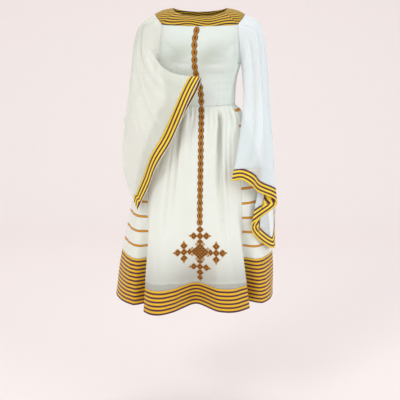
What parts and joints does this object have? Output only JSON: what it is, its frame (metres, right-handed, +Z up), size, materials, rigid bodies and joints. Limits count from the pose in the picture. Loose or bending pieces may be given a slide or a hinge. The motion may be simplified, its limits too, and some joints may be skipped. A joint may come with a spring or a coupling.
{
  "type": "habesha kemis dress",
  "caption": "Long white cotton dress with sheer bell sleeves, striped woven borders at neck, cuffs and hem, and a braided chain and cross embroidered down the front.",
  "frame": {"origin": "midway between the two inner shoulder points of the neckline, where the wearer's shoulders hold the dress up", "axes": "+Z up, the front of the dress faces -Y, +X to the right as seen from the front"},
  "size_m": [0.6325, 0.4572, 1.1126],
  "materials": {
    "white cotton": "plain weave, matt",
    "sheer cotton": "open weave, sheer",
    "lining cotton": "plain weave, matt",
    "stripes": "woven stripes of yellow and dark maroon, slight sheen",
    "embroidery": "gold and brown thread, slight sheen"
  },
  "bodies": {
    "root": {"yoke_front": "stripes", "yoke_back": "stripes", "yoke_shoulder_right": "stripes", "yoke_shoulder_left": "stripes", "bodice_front": "white cotton", "bodice_back_right": "white cotton", "bodice_back_left": "white cotton", "skirt_front": "white cotton", "skirt_side_right": "white cotton", "skirt_back": "white cotton", "skirt_side_left": "white cotton", "hem_band_front": "stripes", "hem_band_side_right": "stripes", "hem_band_back": "stripes", "hem_band_side_left": "stripes", "skirt_lining": "lining cotton", "sleeve_right": "sheer cotton", "sleeve_left": "sheer cotton", "cuff_band_right": "stripes", "cuff_band_left": "stripes", "embroidered_chain_bodice": "embroidery", "embroidered_chain_skirt": "embroidery", "embroidered_cross": "embroidery"}
  },
  "joints": []
}
